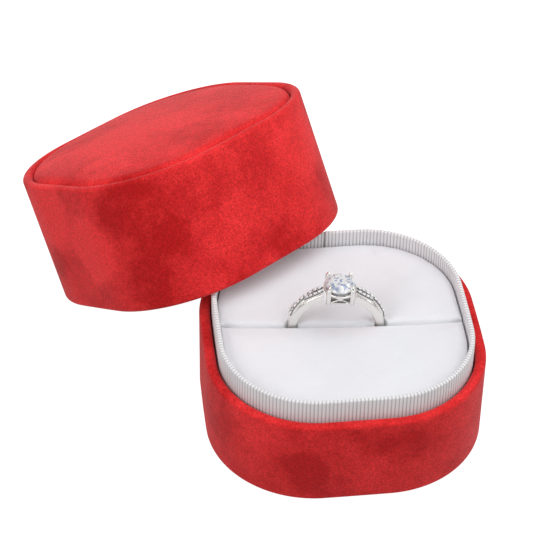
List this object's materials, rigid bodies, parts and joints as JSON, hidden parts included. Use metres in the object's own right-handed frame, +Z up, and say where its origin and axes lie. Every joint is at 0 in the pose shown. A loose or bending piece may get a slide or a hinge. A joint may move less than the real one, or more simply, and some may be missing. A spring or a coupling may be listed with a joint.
{
  "type": "ring box",
  "caption": "Rounded-square suede ring box: tall lift-off lid leaning on a low base with a ribbon-covered neck, and a ring standing in the slot between two padded cushions.",
  "frame": {"origin": "centre of the base's underside, on the surface the box stands on", "axes": "+X along the ring slot, to the right; -Y towards the front, away from the leaning lid; +Z up out of the base"},
  "size_m": [0.0962, 0.1086, 0.0538],
  "materials": {
    "red_suede": "red micro-suede, short matt nap with mottled lay",
    "grey_board": "bare grey board, hidden",
    "white_suede": "white micro-suede, fine matt nap",
    "white_ribbon": "white grosgrain ribbon with fine ribs",
    "white_lining": "white satin lining",
    "foam": "soft open foam, hidden",
    "red_paper": "matt red paper",
    "white_metal": "polished white metal",
    "clear_stone": "clear faceted stone"
  },
  "bodies": {
    "base": {"base_wall_board": "grey_board", "base_wall_cover": "red_suede", "base_floor_board": "grey_board", "underside_infill_card": "grey_board", "underside_panel": "red_paper", "neck_board": "grey_board", "neck_ribbon": "white_ribbon", "pad_card": "grey_board", "slot_foam_strip": "foam", "front_pad_foam": "foam", "front_pad_cover": "white_suede", "rear_pad_foam": "foam", "rear_pad_cover": "white_suede"},
    "lid": {"lid_wall_board": "grey_board", "lid_wall_cover": "red_suede", "lid_top_board": "grey_board", "lid_panel_card": "grey_board", "lid_panel_foam": "foam", "lid_panel_cover": "red_suede", "lid_lining_wall": "white_lining", "lid_lining_pad": "white_lining"},
    "ring": {"ring_shank": "white_metal", "centre_stone": "clear_stone", "ring_head": "white_metal", "ring_shoulder_left": "white_metal", "ring_shoulder_right": "white_metal", "small_stones": "clear_stone"}
  },
  "joints": [
    {"name": "lid_lift", "type": "slide", "parent": "base", "child": "lid", "axis": [0, 0, 1], "range_m": [0, 0.06]},
    {"name": "ring_lift", "type": "slide", "parent": "base", "child": "ring", "axis": [0, 0, 1], "range_m": [0, 0.03]}
  ]
}
